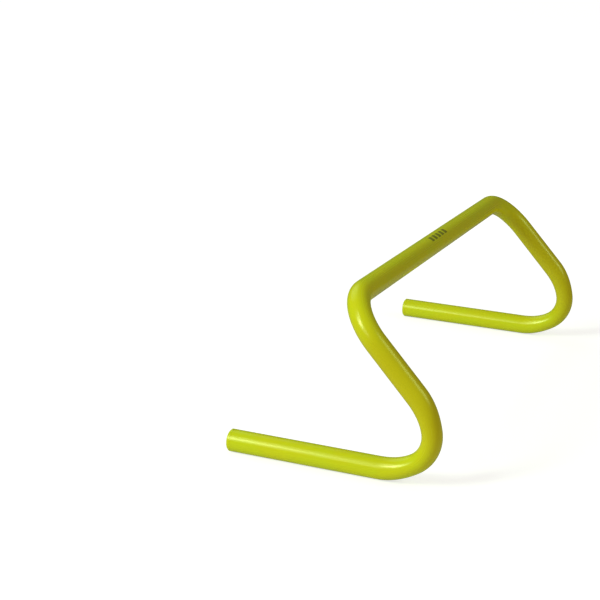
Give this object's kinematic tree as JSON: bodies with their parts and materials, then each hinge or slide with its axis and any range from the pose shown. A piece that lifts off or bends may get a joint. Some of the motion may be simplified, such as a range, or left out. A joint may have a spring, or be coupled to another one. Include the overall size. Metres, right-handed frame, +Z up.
{
  "type": "speed hurdle",
  "caption": "Low free-standing training hurdle bent from round plastic tube: a crossbar, legs that lean back to the heels, and feet that run forward along the ground to plugged ends.",
  "frame": {"origin": "on the ground, at the middle of the footprint", "axes": "+X along the crossbar, +Y from the heels to the free ends of the feet, +Z up"},
  "size_m": [0.457, 0.184, 0.152],
  "materials": {
    "tube_plastic": "glossy extruded plastic, coloured lime yellow all through",
    "plug_plastic": "moulded plastic in the tube's lime yellow, slightly less glossy"
  },
  "bodies": {
    "root": {"bent_tube": "tube_plastic", "left_end_plug": "plug_plastic", "right_end_plug": "plug_plastic"}
  },
  "joints": []
}
